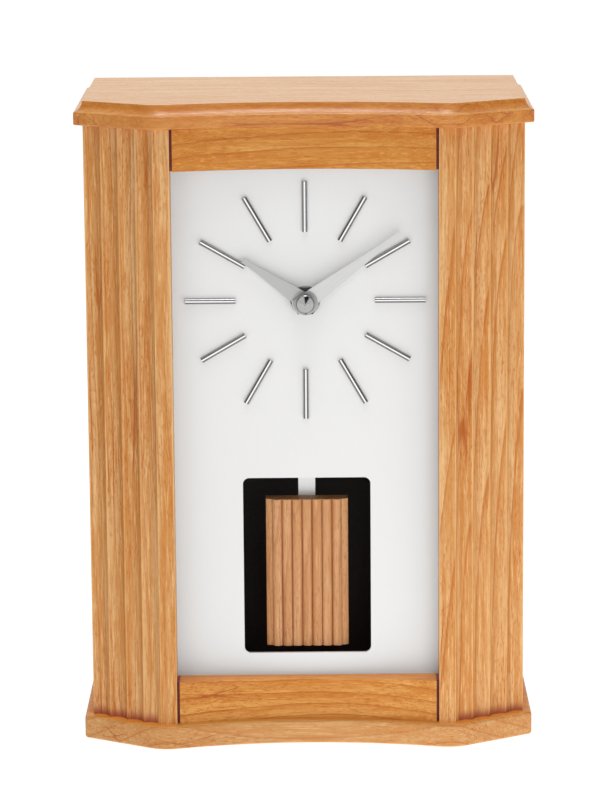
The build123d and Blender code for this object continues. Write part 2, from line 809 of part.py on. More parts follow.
def make_hanger():
    """Swinging arm with a hub on the pin and a hook for the rod."""
    foot = housing_bottom - hanger_reach
    arm = box_between(-hanger_width / 2, hanger_width / 2, foot, swing_z)
    arm += Pos(0, swing_z) * Circle(hanger_hub_radius)
    piece = slab(arm, bob_back, hanger_front)
    middle = (bob_back + hanger_front) / 2
    hub_rear = middle + hanger_hub_length / 2
    hub_front = middle - hanger_hub_length / 2
    piece += spindle((0, swing_z), hanger_hub_radius, hub_rear, hub_front)
    hook_z = housing_bottom - hook_drop
    piece += spindle((0, hook_z), hook_radius, bob_back + rod_thickness + hook_stand, bob_back)
    return piece - spindle((0, swing_z), hanger_pin_radius + pivot_play, hub_rear, hub_front)


def make_hanger_pin():
    return spindle((0, swing_z), hanger_pin_radius, cover_front + pivot_length, pocket_front - pivot_length)


def make_drive_magnet():
    return spindle((0, swing_z - drive_magnet_drop), drive_magnet_radius, hanger_front,
                   hanger_front - drive_magnet_thickness)


def make_drive_coil():
    ring = Circle(drive_coil_radius) - Circle(drive_coil_bore)
    rear = hanger_front - drive_magnet_thickness - drive_coil_gap
    return slab(Pos(0, swing_z - drive_magnet_drop) * ring, rear, pocket_front)


def make_rod():
    """Flat strip from the hook down the back of the bob."""
    strip = box_between(-rod_width / 2, rod_width / 2, bob_bottom + rod_tail, housing_bottom - rod_gap)
    strip -= Pos(0, housing_bottom - hook_drop) * Circle(hook_radius + press_play)
    for place in bob_screw_places:
        strip -= Pos(*place) * Circle(bob_screw_radius + screw_play)
    return slab(strip, bob_back + rod_thickness, bob_back)


def make_bob():
    """Block with upright ribs, rounded at both edges, and a margin that falls back at each side."""
    side = bob_width / 2
    ribbed = side - bob_margin
    pitch = 2 * ribbed / bob_ribs
    groove = bob_front + bob_rib_height
    shoulder = bob_front + bob_margin_fall
    edges = [TangentArc((-ribbed, groove), (-side, shoulder), tangent=(-1, 0)),
             TangentArc((ribbed, groove), (side, shoulder), tangent=(1, 0))]
    for rib in range(bob_ribs):
        start = -ribbed + rib * pitch
        left = (start + bob_rib_shoulder, bob_front)
        right = (start + pitch - bob_rib_shoulder, bob_front)
        edges += [TangentArc(left, (start, groove), tangent=(-1, 0)), Line(left, right),
                  TangentArc(right, (start + pitch, groove), tangent=(1, 0))]
    edges += Polyline((side, shoulder), (side, bob_back), (-side, bob_back), (-side, shoulder)).edges()
    block = prism(make_face(edges), bob_bottom, bob_top)
    for place in bob_screw_places:
        block -= spindle(place, bob_screw_radius + screw_play, bob_back, bob_back - bob_screw_grip)
    return block


def make_bob_screws():
    head_front = bob_back + rod_thickness
    screws = []
    for place in bob_screw_places:
        shank = spindle(place, bob_screw_radius, head_front, bob_back - bob_screw_grip)
        head = spindle(place, bob_screw_head_radius, head_front + bob_screw_head_height, head_front)
        screws.append(shank + head)
    return Compound(screws)


right_column = make_right_column()
right_side = make_right_side()
right_batten = make_right_batten()
right_button = make_right_button()

nodes = {
    "base_board": make_base(),
    "top_cap": make_cap(),
    "left_column": mirror(right_column, about=Plane.YZ),
    "right_column": right_column,
    "top_rail": make_rail(top_rail_bottom, cap_bottom),
    "bottom_rail": make_rail(base_top, bottom_rail_top),
    "left_side_panel": mirror(right_side, about=Plane.YZ),
    "right_side_panel": right_side,
    "back_panel": make_back_panel(),
    "left_turn_button": mirror(right_button, about=Plane.YZ),
    "right_turn_button": right_button,
    "turn_button_screws": make_button_screws(),
    "felt_feet": make_feet(),
    "case_screws": make_case_screws(),
    "cap_dowels": make_dowels(),
    "left_dial_batten": mirror(right_batten, about=Plane.YZ),
    "right_dial_batten": right_batten,
    "dial_plate": make_dial(),
    "hour_markers": make_markers(),
    "dial_washer": make_washer(),
    "mounting_nut": make_nut(),
    "hour_hand": make_hand(hour_hand_length, hour_hand_point, False, hour_pipe_radius + press_play,
                           hour_rest_angle, hour_hand_back),
    "minute_hand": make_hand(minute_hand_length, minute_hand_point, True, minute_arbor_radius + press_play,
                             minute_rest_angle, minute_hand_back),
    "hand_cap_nut": make_cap_nut(),
    "movement_housing": make_housing(),
    "movement_cover": make_cover(),
    "battery": make_battery(),
    "positive_contact": make_positive_contact(),
    "negative_contact": make_negative_contact(),
    "circuit_board": make_board(),
    "quartz_crystal": make_crystal(),
    "motor_stator": make_stator(),
    "motor_coil": make_coil(),
    "motor_rotor": make_rotor(),
    "intermediate_wheel": make_intermediate(),
    "seconds_wheel": make_seconds(),
    "third_wheel": make_third(),
    "centre_wheel": make_centre(),
    "minute_arbor": make_minute_arbor(),
    "motion_wheel": make_motion_wheel(),
    "setting_knob": make_knob(),
    "hour_wheel": make_hour_wheel(),
    "pendulum_hanger": make_hanger(),
    "hanger_pin": make_hanger_pin(),
    "drive_magnet": make_drive_magnet(),
    "drive_coil": make_drive_coil(),
    "pendulum_rod": make_rod(),
    "pendulum_bob": make_bob(),
    "bob_screws": make_bob_screws(),
}

os.makedirs("parts", exist_ok=True)
for name, shape in nodes.items():
    export_step(shape, f"parts/{name}.step")
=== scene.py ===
import math
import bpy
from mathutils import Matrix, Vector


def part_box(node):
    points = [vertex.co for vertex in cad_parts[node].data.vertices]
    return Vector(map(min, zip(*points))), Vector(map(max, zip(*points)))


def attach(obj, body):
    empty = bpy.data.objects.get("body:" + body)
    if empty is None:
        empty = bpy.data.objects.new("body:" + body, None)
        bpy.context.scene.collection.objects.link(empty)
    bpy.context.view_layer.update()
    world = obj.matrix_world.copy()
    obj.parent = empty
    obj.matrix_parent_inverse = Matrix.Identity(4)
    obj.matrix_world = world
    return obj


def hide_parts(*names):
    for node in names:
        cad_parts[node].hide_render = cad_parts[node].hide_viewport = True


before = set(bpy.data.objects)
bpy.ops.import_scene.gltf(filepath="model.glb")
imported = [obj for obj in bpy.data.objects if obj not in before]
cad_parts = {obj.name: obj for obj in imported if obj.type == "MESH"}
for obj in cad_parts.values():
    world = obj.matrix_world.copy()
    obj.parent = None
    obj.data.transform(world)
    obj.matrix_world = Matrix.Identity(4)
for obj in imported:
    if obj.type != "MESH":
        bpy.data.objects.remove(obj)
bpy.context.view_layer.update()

from types import SimpleNamespace
import bmesh
import bpy
import numpy as np
from mathutils import Matrix, Vector

scene = bpy.context.scene
scene.view_settings.view_transform = "Standard"

# Camera: picture size in pixels, place in metres, turns in radians, focal length and optical axis in pixels
picture_width = 600
picture_height = 810
camera_place = (0.0034, -1.6218, 0.4896)
camera_yaw = 0.0092
camera_pitch = -0.1857
camera_roll = -0.0057
focal_pixels = 3443.7
axis_pixel = (344.0, 341.7)
sensor_size = 36.0

# Point that the lamps look at
middle_of_clock = (0.0, 0.0, 0.15)

# Surround: its light on matt surfaces, and the shares of that light and of its reflection left at the sides
surround_light = 0.57
side_light = 0.25
side_reflection = 0.22

# Table: its light on matt surfaces, where across the table that is strongest, and between which distances
# from there it falls
table_light = 1.20
table_light_middle = 0.32
table_light_fall = (0.15, 0.65)

# Table: its brightness as seen, the shares of light that it gives back to matt surfaces and to the camera,
# its half size and its gap below the felt feet
table_white = 0.92
table_albedo = 0.70
table_albedo_seen = 0.30
table_reach = 6.0
table_drop = 0.0001

# Grain directions as turns that bring the grain onto Z
ALONG_Z = (0.0, 0.0, 0.0)
ALONG_X = (0.0, math.pi / 2, 0.0)

# Marks in the wood: width across the grain and length along it, in metres
streak_size = (0.0080, 0.25)
strand_size = (0.0024, 0.070)
fibre_size = (0.00085, 0.014)
tick_size = (0.00048, 0.0034)
vein_size = (0.0060, 0.20)
patch_size = (0.025, 0.085)

# Tones of early wood, late wood and the line that ends a year
honey = ((0.745, 0.47, 0.22), (0.57, 0.215, 0.043), (0.40, 0.085, 0.012))
amber = ((0.68, 0.325, 0.075), (0.55, 0.185, 0.022), (0.36, 0.065, 0.008))
cap_tones = ((0.64, 0.27, 0.050), (0.53, 0.165, 0.017), (0.35, 0.062, 0.008))
base_tones = ((0.645, 0.38, 0.165), (0.56, 0.25, 0.075), (0.40, 0.085, 0.012))
bob_tones = ((0.68, 0.375, 0.185), (0.56, 0.25, 0.096), (0.33, 0.11, 0.035))
raw_tones = ((0.66, 0.47, 0.27), (0.55, 0.36, 0.18), (0.42, 0.25, 0.11))

# Painted light: lighter tones painted on faces that look up, standing for the light that falls on them from
# above
cap_lit_top = (0.74, 0.385, 0.100)
base_lit_top = (0.98, 0.43, 0.09)
rail_lit_top = (0.95, 0.37, 0.075)

# Painted shade: dark tones in the grooves at the rails' ends, from deep to pale, and the dark tone painted
# at the columns' foot where they meet the base
end_groove_shade = ((0.22, 0.040, 0.036), (0.42, 0.090, 0.075))
foot_shade = (0.32, 0.050, 0.036)

# Heights above the columns' foot where its painted shade is full and where it ends, and how far the strands
# move these, in metres
foot_shade_full = 0.0020
foot_shade_end = 0.0078
foot_shade_ripple = 0.004

# Sizes on the case, in metres: width painted dark as shade at a rail's end, margin that takes in the
# columns' inner faces, and the way from there to the painted shade in the coves
end_shade_width = 0.0013
face_margin = 0.0003
cove_offset = 0.0085

# Widths in metres over which a sharp border and that of the painted shade in the coves fade
sharp_fade = 0.0001
cove_fade = 0.001

# Distances from the middle, in metres, where the rails' painted shade begins, the wood beside the dial ends
# and the coves' painted shade begins, and the height of the columns' foot
rail_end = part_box("top_rail")[1][0]
end_shade_from = rail_end - end_shade_width
beside_dial = rail_end + face_margin
cove_from = beside_dial + cove_offset
column_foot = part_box("base_board")[1][2]

# Share of its light that the wood beside the dial throws on it without its own hue
plain_bounce = 0.75

# Shaft of the hands, how far the hub reaches from it, the width of its border, and the angles of the hands
# from upright
nut_low, nut_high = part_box("hand_cap_nut")
shaft = tuple((nut_low[i] + nut_high[i]) / 2 for i in range(3))
hub_reach = 0.00615
hub_border = 0.0006
minute_angle = math.radians(54.1)
hour_angle = math.radians(304.5)


def scaled(tone, *shares):
    """A tone with all its parts times one share, or each part times its own."""
    if len(shares) == 1:
        shares = shares * 3
    return tuple(part * share for part, share in zip(tone, shares))


class Nodes:
    """A node tree being put together."""

    def __init__(self, tree):
        self.tree = tree

    def add(self, kind, **settings):
        """A new node with these settings."""
        node = self.tree.nodes.new(kind)
        for key, value in settings.items():
            setattr(node, key, value)
        return node

    def join(self, source, socket):
        """Link one socket to another."""
        self.tree.links.new(source, socket)

    def feed(self, node, name, value):
        """Link a socket or set a plain value."""
        if isinstance(value, bpy.types.NodeSocket):
            self.join(value, node.inputs[name])
        else:
            node.inputs[name].default_value = value

    def parts(self, source):
        """The three parts of a place or direction."""
        node = self.add("ShaderNodeSeparateXYZ")
        self.join(source, node.inputs[0])
        return node.outputs

    def calc(self, operation, a, b=0.0, clamp=False):
        """An operation on one or two values."""
        node = self.add("ShaderNodeMath", operation=operation, use_clamp=clamp)
        self.feed(node, 0, a)
        self.feed(node, 1, b)
        return node.outputs[0]

    def times(self, a, b, clamp=False):
        """One value times another."""
        return self.calc("MULTIPLY", a, b, clamp)

    def plus(self, a, b, clamp=False):
        """One value plus another."""
        return self.calc("ADD", a, b, clamp)

    def band(self, value, low, high, to_low=0.0, to_high=1.0):
        """A smooth step from to_low at low to to_high at high."""
        node = self.add("ShaderNodeMapRange", interpolation_type="SMOOTHSTEP")
        self.feed(node, "Value", value)
        for key, number in (("From Min", low), ("From Max", high), ("To Min", to_low), ("To Max", to_high)):
            self.feed(node, key, number)
        return node.outputs[0]


class Finish(Nodes):
    """A material being put together, with its shader and the place on the piece in metres."""

    def __init__(self, name, base=(0.5, 0.5, 0.5), roughness=0.5, metallic=0.0):
        self.material = bpy.data.materials.new(name)
        self.material.use_nodes = True
        super().__init__(self.material.node_tree)
        self.shader = self.tree.nodes["Principled BSDF"]
        self.set("Base Color", (*base, 1.0))
        self.set("Roughness", roughness)
        self.set("Metallic", metallic)
        self.place = self.add("ShaderNodeTexCoord").outputs["Object"]

    def set(self, name, value):
        """Link or set a socket of the shader."""
        self.feed(self.shader, name, value)

    def moved(self, scale=(1, 1, 1), shift=(0, 0, 0), turn=(0, 0, 0), source=None):
        """Place after a scale, a turn and a shift."""
        node = self.add("ShaderNodeMapping")
        self.feed(node, "Vector", source or self.place)
        node.inputs["Location"].default_value = shift
        node.inputs["Rotation"].default_value = turn
        node.inputs["Scale"].default_value = scale
        return node.outputs[0]

    def facing(self):
        """The direction that the surface faces."""
        return self.add("ShaderNodeNewGeometry").outputs["Normal"]

    def noise(self, where, scale=1.0, detail=3.0, rough=0.55):
        """Noise at a place."""
        node = self.add("ShaderNodeTexNoise")
        self.feed(node, "Vector", where)
        self.feed(node, "Scale", scale)
        self.feed(node, "Detail", detail)
        self.feed(node, "Roughness", rough)
        return node.outputs["Fac"]

    def blend(self, share, first, second):
        """The first tone, with a share of the second."""
        node = self.add("ShaderNodeMix", data_type="RGBA", blend_type="MIX")
        self.feed(node, 0, share)
        for slot, value in ((6, first), (7, second)):
            if not isinstance(value, bpy.types.NodeSocket):
                value = (*value, 1.0)
            self.feed(node, slot, value)
        return node.outputs[2]

    def edge(self, reach):
        """Share of an edge within reach: how far a normal rounded over that reach leaves the true one."""
        rounded = self.add("ShaderNodeBevel", samples=6)
        self.feed(rounded, "Radius", reach)
        agree = self.add("ShaderNodeVectorMath", operation="DOT_PRODUCT")
        self.join(rounded.outputs[0], agree.inputs[0])
        self.join(self.facing(), agree.inputs[1])
        return self.band(agree.outputs["Value"], 0.995, 0.955)

    def hollow(self, reach):
        """Share of the open side that the piece itself closes within reach, large in grooves."""
        node = self.add("ShaderNodeAmbientOcclusion", samples=8, only_local=True)
        self.feed(node, "Distance", reach)
        return self.band(node.outputs["AO"], 0.92, 0.40)

    def tilt(self):
        """Angle between the surface and the front of the clock."""
        return self.calc("ARCCOSINE", self.times(self.parts(self.facing())[1], -1.0))

    def relief(self, height, depth, strength):
        """Bump from a height, at its depth in metres."""
        node = self.add("ShaderNodeBump")
        self.feed(node, "Height", height)
        self.feed(node, "Distance", depth)
        self.feed(node, "Strength", strength)
        self.join(node.outputs[0], self.shader.inputs["Normal"])


def make_camera():
    """Camera turned by yaw, pitch and roll, with its optical axis on the given pixel."""
    yaw, pitch, roll = camera_yaw, camera_pitch, camera_roll
    ahead = Vector((math.sin(yaw) * math.cos(pitch), math.cos(yaw) * math.cos(pitch), math.sin(pitch)))
    level = Vector((math.cos(yaw), -math.sin(yaw), 0.0))
    above = level.cross(ahead)
    right = level * math.cos(roll) + above * math.sin(roll)
    up = above * math.cos(roll) - level * math.sin(roll)
    data = bpy.data.cameras.new("camera")
    data.sensor_fit = "AUTO"
    data.sensor_width = sensor_size
    data.lens = focal_pixels * sensor_size / picture_height
    data.shift_x = -(axis_pixel[0] - picture_width / 2) / picture_height
    data.shift_y = (axis_pixel[1] - picture_height / 2) / picture_height
    data.clip_start = 0.05
    data.clip_end = 50.0
    camera = bpy.data.objects.new("camera", data)
    turn = Matrix((right, up, -ahead)).transposed().to_4x4()
    camera.matrix_world = Matrix.Translation(camera_place) @ turn
    scene.collection.objects.link(camera)
    scene.camera = camera


def growth_rings(f, along, heart, tilt, ring, seed, sway):
    """Late wood and year lines, from the distance to a leaning heart, counted in years.

    Two noises, a slow drift and a finer waver, sway the distance. Late wood deepens through a year, and the
    line is the last part of it.
    """
    drift_scale = (9.0, 9.0, 3.0)
    waver_scale = (60.0, 60.0, 9.0)
    waver_share = 0.15
    leaning = f.moved(turn=(*tilt, 0.0), shift=(-heart[0], -heart[1], 0.0), source=f.moved(turn=along))
    drift = f.noise(f.moved(scale=drift_scale, shift=(seed, seed, seed), source=leaning), 1.0, 2.0, 0.5)
    waver = f.noise(f.moved(scale=waver_scale, shift=(seed, 0.0, seed), source=leaning), 1.0, 2.0, 0.5)
    across, deeper, _ = f.parts(leaning)
    radius = f.calc("SQRT", f.plus(f.times(across, across), f.times(deeper, deeper)))
    radius = f.plus(radius, f.times(drift, sway))
    radius = f.plus(radius, f.times(waver, waver_share * sway))
    year = f.calc("FRACT", f.calc("DIVIDE", radius, ring))
    ended = f.band(year, 1.0, 0.96)
    late = f.times(f.band(year, 0.30, 0.95), ended)
    year_line = f.times(f.band(year, 0.82, 0.95), ended)
    return late, year_line


def grain_marks(f, along, heart, tilt, ring, seed, sway):
    """All marks of one board: its rings, and noises stretched along the grain.

    Ticks are the peaks of a fine noise and veins the middle contour of a long one, both stronger in some
    patches.
    """
    grain = f.moved(turn=along, shift=(seed, seed * 0.7, seed * 1.3))

    def stretched(size, detail=2.0, shift=(0.0, 0.0, 0.0)):
        """Noise whose features have the given width across the grain and length along it."""
        wide, long = size
        where = f.moved(scale=(1.0 / wide, 1.0 / wide, 1.0 / long), shift=shift, source=grain)
        return f.noise(where, 1.0, detail)

    late, year_line = growth_rings(f, along, heart, tilt, ring, seed, sway)
    patch = stretched(patch_size, 2.0, (0.9, 0.2, 0.4))
    tick = stretched(tick_size, 1.0, (0.3, 0.6, 0.1))
    vein = stretched(vein_size, 0.0, (0.7, 0.1, 0.5))
    off_vein = f.calc("ABSOLUTE", f.calc("SUBTRACT", vein, 0.5))
    return SimpleNamespace(
        late=late,
        year_line=f.times(year_line, patch),
        streak=stretched(streak_size),
        strand=stretched(strand_size),
        fibre=stretched(fibre_size),
        ticks=f.times(f.band(tick, 0.54, 0.66), f.band(patch, 0.38, 0.62, 0.45, 1.0)),
        veins=f.times(f.band(off_vein, 0.022, 0.004), f.band(patch, 0.48, 0.60)))


def grain_tone(f, marks, tones, figure):
    """Tone of plain wood: the marks laid over each other, the rings as strongly as the figure says."""
    pale, deep, line = tones
    tone = f.blend(f.band(marks.streak, 0.34, 0.66, 0.0, 0.70), pale, deep)
    tone = f.blend(f.times(marks.late, figure), tone, deep)
    tone = f.blend(f.band(marks.strand, 0.42, 0.68, 0.0, 0.65), tone, deep)
    tone = f.blend(f.band(marks.fibre, 0.50, 0.70, 0.0, 0.65), tone, deep)
    tone = f.blend(f.band(marks.fibre, 0.47, 0.28, 0.0, 0.60), tone, brightened(pale))
    tone = f.blend(f.times(marks.year_line, 1.5 * figure, clamp=True), tone, line)
    tone = f.blend(f.times(marks.ticks, 0.50), tone, line)
    return f.blend(f.times(marks.veins, 0.70), tone, line)


def brightened(tone):
    """The tone of the palest fibres and of the painted highlight on edges."""
    return tuple(min(1.0, 1.16 * part) for part in tone)


def lit_top_tone(f, marks, tone, lit_top, line):
    """Painted light on faces that look up: the lighter tone lit_top, with its own streaks and ticks."""
    shade = scaled(lit_top, 0.86, 0.74, 0.55)
    streaks = f.plus(f.band(marks.strand, 0.40, 0.70, 0.0, 0.7), f.band(marks.fibre, 0.46, 0.70, 0.0, 0.6))
    streaks = f.plus(streaks, f.times(marks.late, 0.35), clamp=True)
    above = f.blend(f.times(marks.ticks, 0.35), f.blend(streaks, lit_top, shade), line)
    return f.blend(f.band(f.parts(f.facing())[2], 0.80, 0.95, 0.0, 0.9), tone, above)


def wood(name, tones, along=ALONG_Z, heart=(0.0, 0.0), tilt=(0.0, 0.0), ring=0.0045, seed=0.0, figure=0.5,
         gloss=0.38, shine=0.22, sway=0.030, lit_top=None, edge_highlight=None, painted_groove_shade=None, foot=None, shaded_ends=False,
         bounce=None):
    """Lacquered wood with growth rings, streaks, strands, fibres, ticks and veins.

    heart is the place of the rings' centre across the grain, tilt the heart's lean against the grain, ring
    the width of one year and sway how far the rings wander, in metres. Faces that look up get the lighter
    tone lit_top, as painted light from above. Edges within edge_highlight of them are painted paler, as a
    painted highlight, grooves up to painted_groove_shade wide are painted darker, as painted shade, and the
    coves just above the height foot are painted darker, as painted shade where the columns meet the base.
    With shaded_ends the grooves at the wood's ends are painted dark, as painted shade. Wood with a bounce
    lights the dial with that gray.
    """
    pore_depth = 0.00005
    pale, _, line = tones
    f = Finish(name, pale, gloss)
    marks = grain_marks(f, along, heart, tilt, ring, seed, sway)
    tone = grain_tone(f, marks, tones, figure)
    across, _, height = f.parts(f.place)
    off_middle = f.calc("ABSOLUTE", across)
    # Painted light: faces that look up get a lighter tone, standing for light from above
    if lit_top is not None:
        tone = lit_top_tone(f, marks, tone, lit_top, line)
    # Painted highlight: the arrises are painted paler, standing for light catching the edges
    if edge_highlight is not None:
        tone = f.blend(f.times(f.edge(edge_highlight), 0.7), tone, scaled(brightened(pale), 1.0, 0.95, 0.80))
    # Painted shade: grooves and coves are painted darker where the piece itself closes them in
    if painted_groove_shade is not None:
        tone = f.blend(f.times(f.hollow(painted_groove_shade), 0.40), tone, line)
    # Painted shade: the coves just above the columns' foot are painted darker where the columns meet the
    # base
    if foot is not None:
        lifted = f.plus(height, f.times(marks.strand, foot_shade_ripple))
        low_down = f.band(lifted, foot + foot_shade_end, foot + foot_shade_full, 0.0, 0.75)
        in_coves = f.band(off_middle, cove_from, cove_from + cove_fade)
        tone = f.blend(f.times(low_down, in_coves), tone, foot_shade)
    # Painted shade: the grooves at a rail's ends are painted dark
    if shaded_ends:
        past = f.band(off_middle, end_shade_from, end_shade_from + sharp_fade)
        tone = f.blend(past, tone, f.blend(marks.fibre, *end_groove_shade))
    if bounce is not None:
        bounced = f.add("ShaderNodeLightPath").outputs["Is Diffuse Ray"]
        near = f.band(off_middle, beside_dial + sharp_fade, beside_dial, 0.0, plain_bounce)
        tone = f.blend(f.times(bounced, near), tone, (bounce, bounce, bounce))
    f.set("Base Color", tone)
    f.set("Roughness", f.band(f.plus(marks.strand, marks.fibre), 0.7, 1.3, gloss - 0.05, gloss + 0.08))
    f.set("Specular IOR Level", shine)
    f.relief(f.calc("SUBTRACT", f.times(marks.fibre, 0.5), marks.ticks), pore_depth, 0.4)
    return f.material


def metal(name, base, roughness, grain=(600.0, 600.0, 600.0), depth=0.000004):
    """Metal with drawn lines: a stretched noise changes tone, roughness and relief a little."""
    spread = 0.04
    f = Finish(name, base, roughness, 1.0)
    line = f.noise(f.moved(scale=grain), 1.0, 4.0, 0.6)
    patch = f.noise(f.place, 60.0, 2.0, 0.5)
    f.set("Base Color", f.blend(f.band(f.plus(line, patch), 0.7, 1.3), scaled(base, 0.90), base))
    f.set("Roughness", f.band(line, 0.3, 0.7, roughness - spread, roughness + spread))
    f.relief(line, depth, 0.6)
    return f.material


def coated(name, base, roughness, change=0.04, size=300.0, depth=0.00003, shine=0.5):
    """Paint or moulded plastic: a fine even texture with a slow change of tone."""
    f = Finish(name, base, roughness)
    fine = f.noise(f.place, size, 3.0, 0.6)
    slow = f.noise(f.place, 12.0, 2.0, 0.5)
    f.set("Base Color", f.blend(f.band(f.plus(slow, fine), 0.7, 1.3), scaled(base, 1.0 - change), base))
    f.set("Roughness", f.band(fine, 0.3, 0.7, roughness - 0.04, roughness + 0.05))
    f.set("Specular IOR Level", shine)
    f.relief(fine, depth, 0.4)
    return f.material


def marker_chrome():
    """Polished bar with painted reflections by the tilt of the surface: bright crown, a painted dark
    reflection line beside it and flanks painted grey as reflections.
    """
    f = Finish("marker_chrome", (0.84, 0.84, 0.85), 0.12, 1.0)
    tilt = f.tilt()
    crown = f.band(tilt, math.radians(17), math.radians(9))
    flank = f.band(tilt, math.radians(27), math.radians(40))
    fine = f.noise(f.place, 900.0, 3.0, 0.6)
    # Painted reflections: a dark line and grey flanks stand for what the chrome mirrors
    dark = f.blend(fine, (0.045, 0.045, 0.048), (0.10, 0.10, 0.105))
    reflected_grey = f.blend(fine, (0.34, 0.34, 0.345), (0.44, 0.44, 0.445))
    f.set("Base Color", f.blend(crown, f.blend(flank, dark, reflected_grey), (0.86, 0.86, 0.87)))
    f.set("Roughness", f.band(fine, 0.3, 0.7, 0.09, 0.15))
    f.relief(fine, 0.000001, 0.5)
    return f.material


def nut_polish():
    """Turned cap nut: polished face, and a rim painted darker where the surface turns away, as painted
    shade.
    """
    f = Finish("nut_polish", (0.42, 0.42, 0.425), 0.10, 1.0)
    fine = f.noise(f.place, 700.0, 4.0, 0.6)
    face = f.blend(fine, (0.36, 0.36, 0.365), (0.46, 0.46, 0.465))
    # Painted shade: the rim is painted darker where the surface turns away
    rim = f.band(f.tilt(), math.radians(22), math.radians(34))
    f.set("Base Color", f.blend(rim, face, (0.24, 0.24, 0.242)))
    f.set("Roughness", f.band(fine, 0.3, 0.7, 0.08, 0.14))
    f.relief(fine, 0.000001, 0.6)
    return f.material


def hand_satin(name, base, angle, hub_shade_share):
    """Brushed hand: drawn lines along its length, which points at an angle from upright, and a turned hub.

    The hub is painted darker, at hub_shade_share of the hand's tone, as painted shade round the shaft, and
    has rings round the shaft.
    """
    line_scale = (2600.0, 2600.0, 45.0)
    ring_scale = 9000.0
    f = Finish(name, base, 0.34, 1.0)
    middle = f.moved(shift=scaled(shaft, -1.0))
    upright = f.moved(turn=(0.0, -angle, 0.0), source=middle)
    lines = f.noise(f.moved(scale=line_scale, source=upright), 1.0, 4.0, 0.6)
    across, _, upward = f.parts(middle)
    reach = f.calc("SQRT", f.plus(f.times(across, across), f.times(upward, upward)))
    hub = f.band(reach, hub_reach, hub_reach - hub_border)
    brushed = f.blend(f.band(lines, 0.35, 0.65), scaled(base, 0.93), base)
    rings = f.noise(f.times(reach, ring_scale), 1.0, 1.0)
    # Painted shade: the hub is painted darker than the rest of the hand
    hub_shade_tone = scaled(base, hub_shade_share)
    f.set("Base Color", f.blend(hub, brushed, f.blend(rings, scaled(hub_shade_tone, 0.8), hub_shade_tone)))
    f.set("Roughness", f.band(lines, 0.3, 0.7, 0.30, 0.38))
    f.relief(lines, 0.000004, 0.6)
    return f.material


def felt_cloth():
    """Felt: tangled short fibres with sheen."""
    f = Finish("felt_cloth", (0.03, 0.03, 0.03), 0.95)
    tangle = f.noise(f.place, 2600.0, 4.0, 0.7)
    f.set("Base Color", f.blend(f.band(tangle, 0.35, 0.65), (0.018, 0.018, 0.018), (0.06, 0.06, 0.062)))
    f.set("Sheen Weight", 0.4)
    f.relief(tangle, 0.0003, 0.8)
    return f.material


def dress(material, *names):
    """Give CAD nodes a material."""
    for name in names:
        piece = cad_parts[name]
        piece.data.materials.clear()
        piece.data.materials.append(material)


def screw_boxes(node, axes):
    """Boxes of the separate screws of a node, parted at the node's middle along the given axes."""
    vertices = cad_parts[node].data.vertices
    places = np.empty(3 * len(vertices), np.float32)
    vertices.foreach_get("co", places)
    places = places.reshape(-1, 3).astype(float)
    middle = (places.min(0) + places.max(0)) / 2
    group = (places[:, axes] > middle[axes]) @ (2 ** np.arange(len(axes)))
    return [(places[group == g].min(0), places[group == g].max(0)) for g in np.unique(group)]


def loop_faces(rows, columns, first):
    """Faces of a grid of points whose rows are closed loops, numbered from first."""
    row = np.arange(rows - 1)[:, None]
    column = np.arange(columns)[None, :]
    here = row * columns + column
    beside = row * columns + (column + 1) % columns
    return first + np.stack([here, beside, beside + columns, here + columns], -1).reshape(-1, 4)


def slotted_head(radius, shank, height, slot_width, slot_depth, crown, sunk):
    """Points (across, along, out) of a slotted screw head, with out measured from its highest place.

    The rows are sections across the slot, two at each slot wall, one with the full height and one with the
    slot's. A section is a loop: over the top from rim to rim, where the height falls by the crown times the
    squared share of the radius or to the slot's depth inside the slot, and back along the underside, which
    is flat, or for a sunk head a cone that goes from the rim down to the shank.
    """
    rows_beside_slot = 9
    rows_in_slot = 3
    points_over = 17
    slope = height / (radius - shank)
    slot_wall = math.asin(slot_width / 2 / radius)
    outer = radius * np.sin(np.linspace(slot_wall, math.pi / 2, rows_beside_slot))
    inner = np.linspace(-slot_width / 2, slot_width / 2, rows_in_slot)
    across = np.concatenate([-outer[::-1], inner, outer])[:, None]
    in_slot = np.repeat([False, True, False], [len(outer), len(inner), len(outer)])[:, None]
    reach = np.where(in_slot & sunk, radius - slot_depth / slope, radius)
    half = np.sqrt(np.maximum(reach ** 2 - across ** 2, 0.0))
    along = half * np.sin(np.linspace(-math.pi / 2, math.pi / 2, points_over))[None, :]
    off_axis = np.hypot(across, along)
    top = np.where(in_slot, -slot_depth, -crown * (off_axis / radius) ** 2)
    cone = -slope * np.clip(radius - off_axis, 0.0, radius - shank)
    under = cone if sunk else np.full_like(top, -height)
    wide = np.broadcast_to(across, along.shape)
    there = np.stack([wide, along, top], -1)
    back = np.stack([wide, along, under], -1)[:, ::-1]
    return np.concatenate([there, back], 1)


def threaded_shank(radius, start, length, pitch):
    """Points (across, along, out) of a threaded shank, which goes from start to length below the head's top.

    The radius falls from the crest by a zigzag of the angle and the depth, one wave for each turn and each
    pitch, and goes to nothing over the last two pitches.
    """
    thread_share = 0.22
    rows_per_pitch = 6
    points_round = 24
    rows = math.ceil((length - start) / pitch * rows_per_pitch)
    depth = np.concatenate([[start], np.linspace(start, length, rows)])[:, None]
    angle = np.linspace(0.0, 2 * math.pi, points_round, endpoint=False)[None, :]
    wave = np.abs(2 * ((depth / pitch + angle / (2 * math.pi)) % 1.0) - 1)
    taper = np.clip((length - depth) / (2 * pitch), 0.0, 1.0)
    size = radius * (1 - thread_share * wave) * taper
    size[0] = 0.0
    return np.stack([size * np.cos(angle), size * np.sin(angle), np.broadcast_to(-depth, size.shape)], -1)


